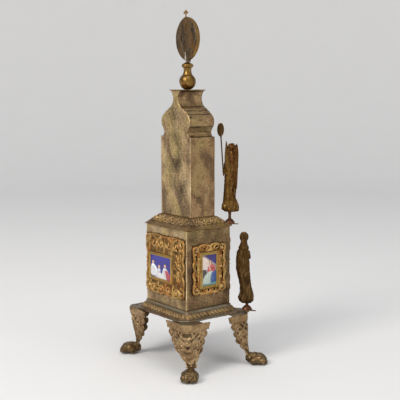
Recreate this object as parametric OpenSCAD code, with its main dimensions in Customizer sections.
// Monstrance of sheet brass: four embossed legs on cast paws, a stepped base, a box with
// framed enamel plaques, a tall tower with a curved cap, a turned knop and a glazed capsule.
// The ground is z = 0, the tower's axis is the Z axis and the front faces -Y.

/* [Legs] */
// Height of the underside of the base lip, where the legs end
leg_top_z = 73; // [70:0.5:74]
// Virtual outer corner of a leg at its top, across the front
leg_corner_x = 73; // [71:0.5:74]
// Virtual outer corner of a leg at its top, from front to back
leg_corner_y = 58.5; // [57:0.5:60]
// Width of the leg's wing that lies along the front or back
leg_wing_x = 47; // [42:0.5:48]
// Width of the leg's wing that lies along a side
leg_wing_y = 42; // [38:0.5:44]
// Thickness of the leg sheet
leg_sheet = 1.4; // [1.2:0.1:1.8]
// Centre of a paw across the front
paw_x = 85; // [84:0.5:87]
// Centre of a paw from front to back
paw_y = 61.8; // [61:0.2:63]
// Radius of a paw in plan
paw_r = 13; // [12.5:0.1:13.5]
// Height of a paw
paw_h = 17.5; // [17:0.1:18]
// How far the bent leg's foot leans inwards, across the front
bend_x = 13; // [0:0.5:13]
// How far the bent leg's foot leans inwards, from front to back
bend_y = 8; // [0:0.5:8]

/* [Base] */
// Width of the base lip
base_w = 123; // [121:0.5:124]
// Depth of the base lip
base_d = 110; // [108:0.5:111]
// Chamfer on the corners of the base lip
base_chamfer = 12; // [11:0.5:13]
// Thickness of the base lip
base_lip_t = 2.4; // [2:0.1:2.6]
// Height of the base from lip to platform
base_rise = 12.3; // [12:0.1:12.8]

/* [Box] */
// Width of the box
box_w = 96; // [95:0.5:97]
// Depth of the box
box_d = 78.4; // [77.4:0.2:79.4]
// Height of the box
box_h = 112.7; // [112:0.1:113.4]
// Thickness of the sheet of the box, roof and tower
sheet = 1.2; // [1:0.1:1.4]

/* [Frames and plaques] */
// Stand-off of a pierced frame from its panel
frame_gap = 1; // [0.8:0.1:1.2]
// Thickness of a pierced frame
frame_t = 1.8; // [1.5:0.1:2.2]
// Visible width of the front and back plaques
wide_plaque_w = 49; // [47:0.5:50]
// Visible height of the front and back plaques
wide_plaque_h = 32; // [30:0.5:33]
// Visible width of the side plaques
tall_plaque_w = 24.5; // [23:0.5:25.5]
// Visible height of the side plaques
tall_plaque_h = 43; // [41:0.5:44]
// Shift of the wide plaques to one side of the panel's middle
wide_plaque_shift = 10.5; // [8:0.5:11]
// Width of the plain moulding round a plaque
moulding_w = 5; // [4.5:0.1:5.5]

/* [Cornice] */
// Width of the cornice lip
cornice_w = 99; // [98:0.5:101]
// Depth of the cornice lip
cornice_d = 83; // [82:0.5:84]
// Height of the sloping roof over the lip
roof_h = 13.4; // [12.8:0.1:14]

/* [Tower] */
// Width of the tower
tower_w = 69.5; // [68.5:0.5:70.5]
// Depth of the tower
tower_d = 43.7; // [42.7:0.5:44.7]
// Height of the straight shaft of the tower
shaft_h = 112.4; // [110:0.2:114]
// Thickness of the tower's gable plates and side sheets
tower_sheet = 1; // [0.9:0.1:1.2]

/* [Finial] */
// Radius of the ball of the knop
ball_r = 11.7; // [11.4:0.1:12]
// Radius of the tie rod
rod_r = 2.5; // [2.3:0.1:2.7]
// Width of the capsule
capsule_w = 48; // [46:0.5:50]
// Height of the capsule
capsule_h = 61; // [60:0.5:62]
// Depth of the capsule's drum
drum_d = 4.2; // [3.4:0.2:4.4]
// Width across the arms of the cross
cross_w = 10; // [8:0.5:11]

/* [Hidden] */
$fn = 48;
eps = 0.01;

// Corners are [sign of x, sign of y]; only the back right leg is bent.
back_right = [1, 1];
back_left = [-1, 1];
front_left = [-1, -1];
front_right = [1, -1];
corners = [back_right, back_left, front_left, front_right];

lip_top_z = leg_top_z + base_lip_t;
platform_z = leg_top_z + base_rise;
box_top_z = platform_z + box_h;
lip_z = box_top_z;
roof_z = lip_z + sheet;
tower_z = roof_z + roof_h;
ledge_z = tower_z + shaft_h;
cap_h = 65.4;
cap_top_z = ledge_z + cap_h;
half_tower = tower_w / 2;

// ---------- helpers ----------
function catmull(p0, p1, p2, p3, t) =
  0.5 * (2 * p1 + (p2 - p0) * t + (2 * p0 - 5 * p1 + 4 * p2 - p3) * t * t
         + (3 * p1 - p0 - 3 * p2 + p3) * t * t * t);
// A smooth curve through points, with steps points for each span
function smooth(p, steps) = [
  for (i = [0 : len(p) - 2]) for (k = [0 : steps - 1])
    catmull(p[max(i - 1, 0)], p[i], p[i + 1], p[min(i + 2, len(p) - 1)], k / steps),
  p[len(p) - 1]
];
// The curve moved sideways by d, to the left of its direction of travel
function beside(p, d) = [
  for (i = [0 : len(p) - 1])
    let (v = p[min(i + 1, len(p) - 1)] - p[max(i - 1, 0)], n = [-v[1], v[0]] / norm(v))
      p[i] + d * n
];
function backwards(p) = [for (i = [len(p) - 1 : -1 : 0]) p[i]];
function mirrored(p) = [for (q = backwards(p)) [-q[0], q[1]]];
// A closed outline from its right half, whose two ends lie on the middle line
function both_halves(p) = concat(p, [for (i = [len(p) - 2 : -1 : 1]) [-p[i][0], p[i][1]]]);

// A closed skin over rings of points, all with the same number of points
module skin(rings) {
  n = len(rings[0]);
  m = len(rings);
  points = [for (r = rings) for (p = r) p];
  polyhedron(
    points = points,
    faces = concat(
      [[for (i = [0 : n - 1]) i]],
      [for (j = [0 : m - 2]) for (i = [0 : n - 1])
        [j * n + i, (j + 1) * n + i, (j + 1) * n + (i + 1) % n]],
      [for (j = [0 : m - 2]) for (i = [0 : n - 1])
        [j * n + i, (j + 1) * n + (i + 1) % n, j * n + (i + 1) % n]],
      [[for (i = [n - 1 : -1 : 0]) (m - 1) * n + i]]
    )
  );
}

// A rectangle with chamfered corners at height z, counter-clockwise from above
function chamfered(hx, hy, c, z) = [
  [hx, -hy + c, z], [hx, hy - c, z], [hx - c, hy, z], [-hx + c, hy, z],
  [-hx, hy - c, z], [-hx, -hy + c, z], [-hx + c, -hy, z], [hx - c, -hy, z]
];
// Levels are [z, half width, half depth, chamfer], from the bottom up
module stepped(levels) skin([for (v = levels) chamfered(v[1], v[2], v[3], v[0])]);

// A plate with the given outline, lying in the XZ plane, from y = 0 to y = thickness
module upright(thickness) rotate([90, 0, 0]) translate([0, 0, -thickness])
  linear_extrude(thickness) children();

// Places children on the box's four faces; each is drawn as seen from outside,
// with local x to the viewer's right, local y up from z = 0 and local z outwards
module on_back() translate([0, box_d / 2, 0]) rotate([90, 0, 180]) children();
module on_front() translate([0, -box_d / 2, 0]) rotate([90, 0, 0]) children();
module on_left() translate([-box_w / 2, 0, 0]) rotate([90, 0, -90]) children();
module on_right() translate([box_w / 2, 0, 0]) rotate([90, 0, 90]) children();

// ---------- base ----------
base_hx = base_w / 2;
base_hy = base_d / 2;
platform_hx = box_w / 2 + 1;
platform_hy = box_d / 2 + 1;
band_hx = 57;
band_hy = 50;
groove_hx = 51.5;
groove_hy = 44;
band_z = lip_top_z + 6;
// Each leg is held by two rivets, given as distances in from the leg's virtual corner
rivet_places = [[24, 10.5], [17, 20]];
rivet_r = 1.2;
leg_plate_t = 1.4;
// Height at which the leg's sheet stands on the ankle of its paw
ankle_z = 15;

module rivet_holes(z0, z1) {
  for (c = corners, p = rivet_places)
    translate([c[0] * (leg_corner_x - p[0]), c[1] * (leg_corner_y - p[1]), z0])
      cylinder(r = rivet_r, h = z1 - z0);
}

module base_plate() color("#8d8764") difference() {
  stepped([
    [leg_top_z, base_hx, base_hy, base_chamfer],
    [lip_top_z, base_hx, base_hy, base_chamfer],
    [lip_top_z + eps, band_hx, band_hy, 10],
    [band_z, groove_hx, groove_hy, 5],
    [band_z + 1, platform_hx, platform_hy, 3],
    [platform_z, platform_hx, platform_hy, 3]
  ]);
  stepped([
    [leg_top_z - 1, band_hx - 14, band_hy - 14, 6],
    [lip_top_z, band_hx - 14, band_hy - 14, 6],
    [platform_z - sheet, platform_hx - 7, platform_hy - 7, 3]
  ]);
  translate([0, 0, leg_top_z]) cylinder(r = rod_r + 0.3, h = base_rise + 1);
  rivet_holes(leg_top_z - 1, lip_top_z + 0.5);
}

// Stamped leaf strips that lie on the sloping band
module base_border() color("#a8915a") difference() {
  stepped([
    [lip_top_z + 0.6, band_hx + 0.6, band_hy + 0.6, 10],
    [band_z, groove_hx + 1, groove_hy + 1, 5.4]
  ]);
  stepped([
    [lip_top_z + eps, band_hx, band_hy, 10],
    [band_z, groove_hx, groove_hy, 5],
    [band_z + 1, platform_hx, platform_hy, 3]
  ]);
}

// ---------- legs ----------
// Height from which the bent leg leans inwards
lean_z = leg_top_z - 3;
// Virtual outer corner, wing share and chamfer of a leg from the top down: [z, x, y, share, chamfer]
leg_levels = [
  [leg_top_z, leg_corner_x, leg_corner_y, 1, 8.7],
  [lean_z, leg_corner_x, leg_corner_y, 0.98, 8.7],
  [62, leg_corner_x, leg_corner_y, 0.92, 8.7],
  [50, leg_corner_x, leg_corner_y - 0.6, 0.78, 8.4],
  [40, leg_corner_x + 0.2, leg_corner_y - 1.4, 0.68, 8],
  [33, leg_corner_x + 0.8, leg_corner_y - 2.4, 0.58, 7.4],
  [27, leg_corner_x + 1.8, leg_corner_y - 3.2, 0.42, 6.6],
  [22, leg_corner_x + 3.2, leg_corner_y - 3.8, 0.27, 5.8],
  [17, leg_corner_x + 5.4, leg_corner_y - 3.6, 0.22, 5.2],
  [ankle_z, leg_corner_x + 6.6, leg_corner_y - 3, 0.22, 5]
];
function lean(z, bent) = bent ? max(0, 1 - z / lean_z) * [bend_x, bend_y] : [0, 0];
// One level of the folded sheet: the outer face, then back along the inner face
function leg_ring(v, bent) =
  let (q = lean(v[0], bent), x = v[1] - q[0], y = v[2] - q[1], z = v[0], c = v[4],
       wx = max(v[3] * leg_wing_x, c + 1), wy = max(v[3] * leg_wing_y, c + 1),
       t = leg_sheet, k = t * tan(22.5))
  [
    [x, y - wy, z], [x, y - c, z], [x - c, y, z], [x - wx, y, z],
    [x - wx, y - t, z], [x - c - k, y - t, z], [x - t, y - c - k, z], [x - t, y - wy, z]
  ];
// The leg at the back right corner; the others are its mirror images
module leg_sheet_metal(bent) skin([for (v = backwards(leg_levels)) leg_ring(v, bent)]);

module at_corner(c) mirror([c[0] < 0 ? 1 : 0, 0, 0]) mirror([0, c[1] < 0 ? 1 : 0, 0]) children();

module leg(c) color("#8c7a52") at_corner(c) leg_sheet_metal(c == back_right);

// Corner plates under the base lip: the legs are soldered to their edges
plate_fit = 0.02;
module leg_plates() color("#7b6c48") difference() {
  for (c = corners) at_corner(c) translate([leg_corner_x, leg_corner_y, leg_top_z - leg_plate_t])
    linear_extrude(leg_plate_t) translate([-leg_sheet - plate_fit, -leg_sheet - plate_fit])
      polygon([[0, -29], [0, -8], [-8, 0], [-33, 0], [-33, -14], [-23, -29]]);
  rivet_holes(leg_top_z - 3, leg_top_z + 1);
}

module leg_rivets() color("#6f6347") for (c = corners, p = rivet_places)
  translate([c[0] * (leg_corner_x - p[0]), c[1] * (leg_corner_y - p[1]), 0]) {
    translate([0, 0, leg_top_z - leg_plate_t]) cylinder(r = rivet_r, h = leg_plate_t + base_lip_t);
    translate([0, 0, leg_top_z - leg_plate_t - 1]) cylinder(r1 = 1.4, r2 = 2.2, h = 1);
  }

// ---------- paws ----------
toe_r = 4.6;
toe_angles = [-52, 0, 52];
function paw_centre(c) =
  let (q = lean(8.7, c == back_right)) [c[0] * (paw_x - q[0]), c[1] * (paw_y - q[1]), 0];

ankle_r = 5.4;
ankle_reach = 11;
module paw(c) color("#6d5f3c")
  at_corner(c) translate([abs(paw_centre(c)[0]), abs(paw_centre(c)[1]), 0]) rotate([0, 0, 45])
    intersection() {
      union() {
        translate([-1, 0, 8]) sphere(r = 9.5);
        translate([-ankle_reach, 0, 7]) cylinder(r = ankle_r, h = ankle_z - 7);
        for (a = toe_angles) rotate([0, 0, a]) {
          translate([paw_r - toe_r, 0, toe_r]) sphere(r = toe_r);
          translate([paw_r - toe_r, 0, toe_r]) rotate([0, -68, 0]) cylinder(r = toe_r - 0.6, h = 10);
          translate([paw_r - toe_r, 0, 0]) cylinder(r = toe_r - 0.4, h = toe_r);
        }
      }
      translate([-20, -20, 0]) cube([40, 40, paw_h]);
    }

// ---------- box ----------
pin_r = 0.9;
wide_pins = [[-40, 112], [40, 112], [-40, 174], [40, 174]];
tall_pins = [[-24, 112], [24, 112], [-24, 171], [24, 171]];
module pin_holes(places) for (p = places) translate([p[0], p[1], -10]) cylinder(r = pin_r, h = 20);

module wide_panel() color("#a39c7b") difference() {
  translate([-box_w / 2, platform_z, -sheet]) cube([box_w, box_h, sheet]);
  pin_holes(wide_pins);
}
module tall_panel() color("#857a5b") difference() {
  translate([-box_d / 2 + sheet, platform_z, -sheet]) cube([box_d - 2 * sheet, box_h, sheet]);
  pin_holes(tall_pins);
}

// ---------- pierced frames ----------
frame_z0 = frame_gap;
wide_frame_hw = 46;
wide_frame_low = 99;
wide_frame_high = 187;
tall_frame_hw = 29.5;
tall_frame_low = 105;
tall_frame_high = 178;
plaque_z = 138.3;
tall_plaque_z = 139.5;

// Right half of a frame's outline, from the bottom middle to the top middle:
// lobed corners, and a waist half way up
function half_outline(hw, low, high) =
  let (mid = (low + high) / 2)
  smooth([
    [0, low + 3], [hw * 0.35, low + 4.5], [hw * 0.62, low + 0.5], [hw * 0.9, low + 1.5], [hw, low + 8],
    [hw * 0.96, low + 17], [hw * 0.99, mid - 12], [hw * 0.9, mid], [hw * 0.97, mid + 12],
    [hw * 0.98, high - 16], [hw, high - 7], [hw * 0.88, high - 0.5], [hw * 0.6, high - 2],
    [hw * 0.4, high - 8], [hw * 0.2, high - 5], [0, high - 4]
  ], 3);

// A rounded slot between two points. Its straight part is a hair narrower than its ends,
// so that no straight side runs tangent to an arc.
slot_waist = 0.94;
module slot(a, b, r) {
  v = b - a;
  translate(a) circle(r);
  translate(b) circle(r);
  translate(a) rotate(atan2(v[1], v[0]))
    translate([0, -r * slot_waist]) square([norm(v), 2 * r * slot_waist]);
}

module wide_frame() color("#a5813f") translate([0, 0, frame_z0]) difference() {
  linear_extrude(frame_t) difference() {
    polygon(both_halves(half_outline(wide_frame_hw, wide_frame_low, wide_frame_high)));
    translate([-wide_plaque_shift, plaque_z])
      square([wide_plaque_w + 2 * moulding_w, wide_plaque_h + 2 * moulding_w], center = true);
    for (x = [24, 30]) slot([x, 126], [x, 136], 1.3);
    for (x = [24, 30]) slot([x, 143], [x, 152], 1.3);
    for (x = [-30, -12, 6, 24]) slot([x, 106], [x + 4, 111], 1.6);
    for (x = [-30, -12, 6, 24]) slot([x + 4, 167], [x, 173], 1.7);
  }
  pin_holes(wide_pins);
}

module tall_frame() color("#a5813f") translate([0, 0, frame_z0]) difference() {
  linear_extrude(frame_t) difference() {
    polygon(both_halves(half_outline(tall_frame_hw, tall_frame_low, tall_frame_high)));
    translate([0, tall_plaque_z])
      square([tall_plaque_w + 2 * moulding_w, tall_plaque_h + 2 * moulding_w], center = true);
    for (s = [-1, 1]) {
      slot([s * 22.5, 120], [s * 22.5, 136], 1.3);
      slot([s * 22.5, 146], [s * 22.5, 160], 1.3);
      slot([s * 4, 108.5], [s * 3, 111], 1);
      slot([s * 4, 168], [s * 3, 171], 1);
    }
  }
  pin_holes(tall_pins);
}

// Plain rectangular moulding that laps over the edge of its plaque
module moulding(w, h, z, shift) color("#b08440") translate([-shift, z, 0]) difference() {
  union() {
    translate([-w / 2 - moulding_w, -h / 2 - moulding_w, frame_gap])
      cube([w + 2 * moulding_w, h + 2 * moulding_w, frame_t]);
    translate([-w / 2 - moulding_w + 1, -h / 2 - moulding_w + 1, frame_gap + frame_t - eps])
      cube([w + 2 * moulding_w - 2, h + 2 * moulding_w - 2, 0.8]);
  }
  translate([-w / 2, -h / 2, -1]) cube([w, h, 10]);
  translate([-w / 2 - 1.5, -h / 2 - 1.5, -1]) cube([w + 3, h + 3, frame_gap + 2.2]);
}

// Enamelled copper plate, held by the moulding against the panel
plaque_lap = 1.4;
module plaque(w, h, z, shift, tint) color(tint)
  translate([-shift - w / 2 - plaque_lap, z - h / 2 - plaque_lap, 0.1])
    cube([w + 2 * plaque_lap, h + 2 * plaque_lap, frame_gap + 1]);

// Pins through panel, frame and a domed head
module pins(places) for (p = places) translate([p[0], p[1], 0]) {
  translate([0, 0, -sheet - 1]) cylinder(r = pin_r, h = sheet + 1 + frame_gap + frame_t);
  translate([0, 0, frame_gap + frame_t]) cylinder(r1 = 1.7, r2 = 1.1, h = 0.9);
  translate([0, 0, -sheet - 1.2]) cylinder(r = 2, h = 1.2);
}
module frame_pins() color("#7a6334") {
  on_back() pins(wide_pins);
  on_front() pins(wide_pins);
  on_left() pins(tall_pins);
  on_right() pins(tall_pins);
}

// ---------- cornice ----------
cornice_hx = cornice_w / 2;
cornice_hy = cornice_d / 2;
slope_hx = cornice_hx - 1;
slope_hy = cornice_hy - 1;
deck_hx = half_tower + 0.8;
deck_hy = tower_d / 2 + 0.8;
module cornice_roof() color("#948b66") difference() {
  stepped([
    [lip_z, cornice_hx, cornice_hy, 0.4],
    [roof_z, cornice_hx, cornice_hy, 0.4],
    [roof_z + eps, slope_hx, slope_hy, 0.4],
    [tower_z, deck_hx, deck_hy, 0.4]
  ]);
  stepped([
    [lip_z - 1, box_w / 2 - 4, box_d / 2 - 4, 0.3],
    [roof_z, box_w / 2 - 4, box_d / 2 - 4, 0.3],
    [tower_z - sheet, deck_hx - 4, deck_hy - 4, 0.3]
  ]);
  translate([0, 0, lip_z]) cylinder(r = rod_r + 0.3, h = roof_h + 5);
}

// Share of the way up the slope
function roof_level(share, out) = [
  roof_z + share * roof_h, slope_hx + share * (deck_hx - slope_hx) + out,
  slope_hy + share * (deck_hy - slope_hy) + out, 0.4
];
module cornice_border() color("#a3934f") difference() {
  stepped([roof_level(0.18, 0), roof_level(0.25, 0.9), roof_level(0.88, 0.9), roof_level(0.94, 0)]);
  stepped([[roof_z + eps, slope_hx, slope_hy, 0.4], roof_level(1, 0), [tower_z + 1, deck_hx, deck_hy, 0.4]]);
}

// ---------- tower ----------
// Right half of the cap, as [half width, height over the ledge]: a waist and a bulge, then a step,
// a shoulder, a neck and a flare
cap_lower = smooth([
  [30, 0], [27.6, 3.4], [27, 6.6], [29.2, 11], [32.4, 15], [33.6, 20], [32.8, 25], [29.8, 29.4],
  [24.8, 33.2], [22, 35.8]
], 4);
cap_upper = smooth([
  [19.4, 36.4], [16.8, 38.8], [11.8, 41.4], [7.8, 45.4], [5.8, 50.2], [5.4, 54.6], [6.8, 58.8],
  [9.6, 62.6], [13, 64.4]
], 4);
cap_side = concat(cap_lower, cap_upper);
flange_t = 1;
function lifted(p, z) = [for (q = p) [q[0], q[1] + z]];
tower_side = concat([[half_tower, tower_z], [half_tower, ledge_z]], lifted(cap_side, ledge_z));

module gable() upright(tower_sheet) polygon(concat(tower_side, mirrored(tower_side)));
module tower_back() color("#a0977a") translate([0, tower_d / 2 - tower_sheet, 0]) gable();
module tower_front() color("#a0977a") translate([0, -tower_d / 2, 0]) gable();

module tower_sheet_right() {
  inner = beside(lifted(cap_side, ledge_z), tower_sheet);
  difference() {
    translate([0, -tower_d / 2 + tower_sheet, 0]) upright(tower_d - 2 * tower_sheet)
      polygon(concat(
        tower_side,
        backwards(inner),
        [[half_tower - tower_sheet, ledge_z - tower_sheet], [half_tower - tower_sheet, tower_z]]
      ));
    translate([0, -tower_d, cap_top_z - flange_t]) cube([tower_w, 2 * tower_d, 5]);
  }
}
module tower_right() color("#75694b") tower_sheet_right();
module tower_left() color("#75694b") mirror([1, 0, 0]) tower_sheet_right();
module tower_top() color("#8a7d58") difference() {
  translate([-13, -tower_d / 2 - 1.2, cap_top_z - flange_t]) cube([26, tower_d + 2.4, flange_t]);
  translate([0, 0, cap_top_z - 5]) cylinder(r = rod_r + 0.2, h = 10);
}

// ---------- tie rod and knop ----------
ball_z = cap_top_z + ball_r - 0.7;
neck_z = cap_top_z + 26.6;
collar_z = cap_top_z + 33.6;
knop_top_z = cap_top_z + 38.1;
rod_low_z = platform_z - 9;
rod_high_z = cap_top_z + 17;
nut_h = 4.4;
washer_t = 1.2;
stem_r = 1.6;
stem_gap = 0.05;
stem_depth = 14;

module tie_rod() color("#7d7050") translate([0, 0, rod_low_z])
  cylinder(r = rod_r, h = rod_high_z - rod_low_z);
module tie_washer() color("#7d7050") translate([0, 0, platform_z - sheet - washer_t]) difference() {
  cylinder(r = 9, h = washer_t);
  translate([0, 0, -1]) cylinder(r = rod_r, h = 5);
}
module tie_nut() color("#7d7050") translate([0, 0, platform_z - sheet - washer_t - nut_h]) difference() {
  cylinder(r = 5.6, h = nut_h, $fn = 6);
  translate([0, 0, -1]) cylinder(r = rod_r, h = nut_h + 2);
}

module vase_knop() color("#b8923f") difference() {
  union() {
    intersection() {
      translate([0, 0, ball_z]) sphere(r = ball_r);
      translate([0, 0, cap_top_z]) cylinder(r = 20, h = 40);
    }
    translate([0, 0, cap_top_z]) cylinder(r = 6.4, h = 3);
    rotate_extrude() translate([0, cap_top_z]) polygon(concat(
      [[0, 19]],
      smooth([[8.2, 19], [6.2, 22.4], [5.4, 26.6], [5.8, 30], [7.6, 32.2], [8.5, 33.8], [7.4, 35.6],
              [4.6, 37.3], [2.6, 38.1]], 3),
      [[0, 38.1]]
    ));
  }
  translate([0, 0, cap_top_z - 1]) cylinder(r = rod_r, h = rod_high_z - cap_top_z + 1);
  translate([0, 0, knop_top_z - stem_depth]) cylinder(r = stem_r + stem_gap, h = stem_depth + 1);
}

// ---------- capsule ----------
capsule_z = knop_top_z + 32.4;
back_t = 1.2;
drum_wall = 1.4;
drum_y = -drum_d / 2;
door_gap = 0.3;
bezel_t = 1.6;
glass_t = 1;
hinge_r = 1.5;
hinge_x = capsule_w / 2 + 0.6;
hinge_y = drum_y - door_gap / 2;
hinge_pin_r = 0.5;
hinge_gap = 0.05;
knuckle_h = 4;
knuckle_gap = 0.3;
latch_z = capsule_z - 31;
latch_pin_r = 0.5;
latch_hub_r = 1;
latch_t = 1;
latch_h = 5.6;

// A pointed oval of the given width and height: two arcs that meet in points
module pointed_oval(w, h) {
  r = (h * h + w * w) / (4 * w);
  intersection() {
    translate([w / 2 - r, 0]) circle(r, $fn = 96);
    translate([r - w / 2, 0]) circle(r, $fn = 96);
  }
}
module oval_plate(inset, y0, t) translate([0, y0, capsule_z]) upright(t)
  pointed_oval(capsule_w - 2 * inset, capsule_h - 2.6 * inset);
module oval_ring(outset, inset, y0, t) difference() {
  oval_plate(outset, y0, t);
  oval_plate(inset, y0 - 1, t + 2);
}
module knuckle(z) translate([hinge_x, hinge_y, capsule_z + z]) cylinder(r = hinge_r, h = knuckle_h);
module knuckle_bore(r) translate([hinge_x, hinge_y, capsule_z - 20]) cylinder(r = r, h = 40);
low_knuckle = -1.5 * knuckle_h - knuckle_gap;
high_knuckle = 0.5 * knuckle_h + knuckle_gap;

module capsule_back() color("#6a5a3a") oval_plate(0, drum_d / 2, back_t);
module capsule_drum() color("#a58a45") difference() {
  union() {
    oval_ring(0.6, 0.6 + drum_wall, drum_y, drum_d);
    for (z = [low_knuckle, high_knuckle]) {
      knuckle(z);
      translate([hinge_x - 3, hinge_y + 0.4, capsule_z + z]) cube([3, 2, knuckle_h]);
    }
  }
  translate([hinge_x - 3.2, hinge_y - 2, capsule_z - knuckle_h / 2 - knuckle_gap])
    cube([6, 4, knuckle_h + 2 * knuckle_gap]);
  knuckle_bore(hinge_pin_r);
}
module door_pin() color("#8c7840") translate([hinge_x, hinge_y, capsule_z + low_knuckle - 0.5])
  cylinder(r = hinge_pin_r, h = high_knuckle - low_knuckle + knuckle_h + 1);

door_y = drum_y - door_gap - bezel_t;
module door_bezel() color("#b8963f") difference() {
  union() {
    oval_ring(0.6, 3.4, door_y, bezel_t);
    knuckle(-knuckle_h / 2);
    translate([hinge_x - 2.6, door_y, capsule_z - knuckle_h / 2]) cube([2.6, bezel_t, knuckle_h]);
  }
  oval_plate(2.4, door_y + bezel_t - glass_t - 0.2, 3);
  knuckle_bore(hinge_pin_r + hinge_gap);
  for (z = [low_knuckle - 1, high_knuckle - knuckle_gap])
    translate([hinge_x - 1.9, door_y - 1, capsule_z + z]) cube([5, bezel_t + 3, knuckle_h + 1 + knuckle_gap]);
}
module door_glass() color([0.8, 0.9, 0.9, 0.4]) oval_plate(2.5, door_y + bezel_t - glass_t - 0.2, glass_t);

// Turn-button on the stem's boss; its arm points up over the foot of the door
module door_latch() color("#b8963f")
  translate([0, door_y - door_gap - latch_t, latch_z]) {
    rotate([-90, 0, 0]) cylinder(r = latch_pin_r, h = -door_y + door_gap);
    rotate([-90, 0, 0]) cylinder(r = latch_hub_r, h = latch_t);
    translate([-0.85, 0, 0]) cube([1.7, latch_t, latch_h]);
  }

module lunette() color("#c9a44c") translate([0, drum_y + 1.2, capsule_z - 4]) {
  upright(1.6) difference() {
    circle(11);
    circle(9.4);
    translate([-12, 2]) square([24, 12]);
  }
  translate([-1.2, 0, -23.55]) cube([2.4, 1.6, 13.5]);
}

module capsule_tongue() color("#b3ab95") translate([0, drum_d / 2 + back_t, capsule_z - capsule_h / 2 + 1.5])
  upright(0.8) polygon([[-2.1, 0], [2.1, 0], [1.6, 6], [0.3, 11], [-0.3, 11], [-1.6, 6]]);

// The stem has a boss at the front, bored for the latch's pin
module capsule_stem() color("#5d5136") difference() {
  union() {
    translate([0, 0, knop_top_z - stem_depth + 0.6]) cylinder(r = stem_r, h = stem_depth + 4);
    translate([0, 0, knop_top_z + 0.4]) cylinder(r = 2.4, h = 1);
    translate([0, door_y - 0.1, latch_z]) rotate([-90, 0, 0]) cylinder(r = latch_hub_r, h = -door_y);
  }
  oval_plate(0.6, drum_y - 5, 20);
  translate([0, door_y - 1, latch_z]) rotate([-90, 0, 0])
    cylinder(r = latch_pin_r + hinge_gap, h = 1.4 - door_y);
}

cross_z = capsule_z + capsule_h / 2;
module cross() color("#a8954f") difference() {
  translate([0, drum_d / 2 + back_t / 2, cross_z]) {
    translate([0, 0, -0.7]) cylinder(r = 0.9, h = 8.1);
    translate([-cross_w / 2 + 1.4, 0, 4.4]) rotate([0, 90, 0]) cylinder(r = 0.8, h = cross_w - 2.8);
    for (x = [-1, 1]) translate([x * (cross_w / 2 - 1.5), 0, 4.4]) sphere(r = 1.5);
    translate([0, 0, 7.6]) sphere(r = 1.5);
    translate([0, 0, 4.4]) sphere(r = 1.3);
  }
  oval_plate(0, drum_d / 2, back_t);
}

// ---------- figures ----------
// Sections are [height, centre, half width, half depth]; the figure faces local -Y
function ellipse_ring(v) = [
  for (a = [0 : 22.5 : 337.5]) [v[1] + v[2] * cos(a), v[3] * sin(a), v[0]]
];
module figure(sections) skin([for (v = sections) ellipse_ring(v)]);

angel_foot_z = roof_z + 17.8;
angel_axis = [40, 45];
angel_sections = [
  [0, -1, 8, 3.4], [3, -1, 12.6, 4.6], [9, -1, 13, 5], [14, -1, 11, 4.8], [20, 0, 9.4, 4.8],
  [40, -1, 9.2, 4.6], [60, -2, 9.2, 4.4], [74, -2.4, 9, 4.2], [80, -2.4, 7, 3.6], [84.6, -2.4, 2.8, 2.8],
  [88, -2.4, 4.2, 4.2], [92, -2.4, 4.8, 4.8], [96, -2.4, 4, 4], [98.6, -2.4, 1.4, 1.4]
];
// Places children at the corner where the figures stand, turned half way to the front
module at_figure(side, axis) mirror([side > 0 ? 1 : 0, 0, 0]) translate([-axis[0], -axis[1], 0])
  rotate([0, 0, 45]) children();

wing_t = 1.6;
module wing(points) translate([0, 2.4, 0]) upright(wing_t) polygon(smooth(points, 3));
module angel_body(side) color("#7a4f2c") at_figure(side, angel_axis) translate([0, 0, angel_foot_z])
difference() {
  union() {
    figure(angel_sections);
    wing([[1, 56], [6.2, 62], [7.4, 78], [6.4, 92], [5.4, 101], [3.6, 97], [2.8, 84], [0, 72]]);
    wing([[-5, 56], [-9, 34], [-10.6, 36], [-11.6, 60], [-12.4, 84], [-10.4, 97], [-7.6, 93], [-6, 76]]);
    translate([-13, 2, 3]) rotate([0, 90, 0]) cylinder(r = 0.8, h = 4);
  }
  translate([0, 0, -20]) cylinder(r = stem_peg_r, h = 26);
  staff_shape();
}
// The staff leans over the shoulder, with an oval disc at its top
staff_r = 0.8;
module staff_rod(a, b) {
  v = b - a;
  translate(a) rotate([0, acos(v[2] / norm(v)), atan2(v[1], v[0])]) cylinder(r = staff_r, h = norm(v));
}
staff_low = [8.6, 5, 52];
staff_high = [12.6, 5, 109];
module staff_shape() staff_rod(staff_low, staff_high);
module angel_staffs() color("#4f4426") for (side = [-1, 1])
  at_figure(side, angel_axis) translate([0, 0, angel_foot_z]) {
    staff_shape();
    translate([13, 4.4, 117.4]) upright(1.2) scale_oval(5, 10);
  }
// An oval disc from two arcs, blunt at the ends
module scale_oval(w, h) {
  r = (h * h + w * w) / (2 * w);
  intersection() {
    translate([w - r, 0]) circle(r, $fn = 64);
    translate([r - w, 0]) circle(r, $fn = 64);
    circle(h - 0.8, $fn = 64);
  }
}

saint_foot_z = lip_top_z + 11;
saint_axis = [65, 57];
saint_sections = [
  [0, 1, 7, 4], [3, 1, 11, 6], [8, 1.5, 12, 6.6], [14, 0.5, 10.6, 6], [20, 1, 8.8, 5.4], [28, 2.5, 8.4, 5.2],
  [40, 5, 8.6, 5.4], [53, 7.6, 8.4, 5.4], [66, 6, 9.6, 5.6], [76, 5.6, 8.2, 5], [83, 5, 4.6, 4],
  [86.5, 4.6, 3.4, 3.4], [91, 4.4, 4.8, 4.8], [97, 4.4, 5.2, 5.2], [101, 4.2, 4, 4], [103.4, 4.2, 1.6, 1.6]
];
module saint_body(side) color("#55482a") at_figure(side, saint_axis) translate([0, 0, saint_foot_z])
difference() {
  figure(saint_sections);
  translate([0, 0, -20]) cylinder(r = stem_peg_r, h = 26);
}

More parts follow.
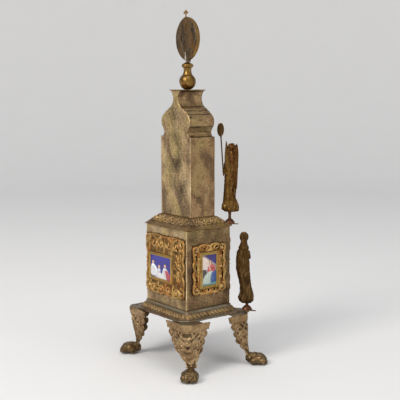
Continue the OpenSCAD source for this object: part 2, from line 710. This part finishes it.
// ---------- stands and brackets ----------
stem_peg_r = 1.5;
screw_r = 1.4;
bracket_t = 1.3;
nut_t = 2.4;
dome_r = 7.3;
dome_h = 6.6;
upper_bracket_z = roof_z;
lower_bracket_z = lip_top_z;
// A domed foot on its bracket, with a peg up into the figure and a screw down to the nut
module stand(z, foot_z) {
  translate([0, 0, z]) intersection() {
    translate([0, 0, dome_h - dome_r]) sphere(r = dome_r);
    cylinder(r = 20, h = dome_h);
  }
  translate([0, 0, z + dome_h - 1]) cylinder(r = 2, h = foot_z - z - dome_h + 1);
  translate([0, 0, foot_z - 1]) cylinder(r = stem_peg_r, h = 6);
  translate([0, 0, z - bracket_t - nut_t + 0.05]) cylinder(r = screw_r, h = bracket_t + nut_t + 1);
}
// What the foot of the roof's slope takes from the pieces beside it
module beside_roof(z) stepped([
  [z, slope_hx + 0.1, slope_hy + 0.1, 0.4], [z + 10, slope_hx + 0.1, slope_hy + 0.1, 0.4]
]);
module angel_stands() color("#7c4a36") difference() {
  for (side = [-1, 1]) at_figure(side, angel_axis)
    stand(upper_bracket_z + bracket_t, angel_foot_z);
  beside_roof(upper_bracket_z + bracket_t - 0.1);
}
module saint_stands() color("#6e4c30") for (side = [-1, 1]) at_figure(side, saint_axis)
  stand(lower_bracket_z + bracket_t, saint_foot_z);

// A flat tongue from near the body, through the stand's axis, to a rounded point
module tongue(z, root, axis, tip, w) translate([0, 0, z]) difference() {
  linear_extrude(bracket_t) union() {
    slot(-root, -axis, w / 2);
    polygon([-axis + w / 2 * [-0.7, 0.7], -tip, -axis + w / 2 * [0.7, -0.7]]);
  }
  translate([-axis[0], -axis[1], -1]) cylinder(r = screw_r, h = 5);
}
module upper_brackets() color("#938d75") for (side = [0, 1]) mirror([side, 0, 0])
  difference() {
    tongue(upper_bracket_z, [39, 40], angel_axis, [50, 53], 9);
    beside_roof(upper_bracket_z - 1);
  }
module lower_brackets() color("#938d75") for (side = [0, 1]) mirror([side, 0, 0])
  difference() {
    tongue(lower_bracket_z, [51, 48], saint_axis, [77, 64], 10);
    stepped([[lip_top_z - 1, band_hx + 1, band_hy + 1, 10], [lip_top_z + 3, band_hx + 1, band_hy + 1, 10]]);
  }
module nut_at(side, axis, z) at_figure(side, axis) translate([0, 0, z]) difference() {
  cylinder(r = 3.4, h = nut_t, $fn = 6);
  translate([0, 0, -1]) cylinder(r = screw_r, h = 5);
}
module bracket_nuts() color("#5c5138") for (side = [-1, 1]) {
  nut_at(side, angel_axis, upper_bracket_z - nut_t);
  nut_at(side, saint_axis, lower_bracket_z - nut_t);
}

// ---------- drawing ----------
base_plate();
base_border();
leg(back_right);  // leg_back_right
leg(back_left);  // leg_back_left
leg(front_left);  // leg_front_left
leg(front_right);  // leg_front_right
paw(back_right);  // paw_back_right
paw(back_left);  // paw_back_left
paw(front_left);  // paw_front_left
paw(front_right);  // paw_front_right
leg_plates();
leg_rivets();
on_back() wide_panel();  // panel_back
on_front() wide_panel();  // panel_front
on_left() tall_panel();  // panel_left
on_right() tall_panel();  // panel_right
on_back() wide_frame();  // frame_back
on_front() wide_frame();  // frame_front
on_left() tall_frame();  // frame_left
on_right() tall_frame();  // frame_right
on_back()  // moulding_back
  moulding(wide_plaque_w, wide_plaque_h, plaque_z, wide_plaque_shift);
on_front()  // moulding_front
  moulding(wide_plaque_w, wide_plaque_h, plaque_z, wide_plaque_shift);
on_left()  // moulding_left
  moulding(tall_plaque_w, tall_plaque_h, tall_plaque_z, 0);
on_right()  // moulding_right
  moulding(tall_plaque_w, tall_plaque_h, tall_plaque_z, 0);
on_back()  // plaque_back
  plaque(wide_plaque_w, wide_plaque_h, plaque_z, wide_plaque_shift, "#2f3aa0");
on_front()  // plaque_front
  plaque(wide_plaque_w, wide_plaque_h, plaque_z, wide_plaque_shift, "#2f3aa0");
on_left()  // plaque_left
  plaque(tall_plaque_w, tall_plaque_h, tall_plaque_z, 0, "#3a3a7a");
on_right()  // plaque_right
  plaque(tall_plaque_w, tall_plaque_h, tall_plaque_z, 0, "#3a3a7a");
frame_pins();
cornice_roof();
cornice_border();
tower_back();
tower_front();
tower_left();
tower_right();
tower_top();
tie_rod();
tie_nut();
tie_washer();
vase_knop();
capsule_stem();
capsule_back();
capsule_drum();
capsule_tongue();
cross();
door_bezel();
door_glass();
door_pin();
door_latch();
lunette();
angel_body(-1);  // angel_left
angel_body(1);  // angel_right
angel_staffs();
saint_body(-1);  // saint_left
saint_body(1);  // saint_right
angel_stands();
saint_stands();
upper_brackets();
lower_brackets();
bracket_nuts();
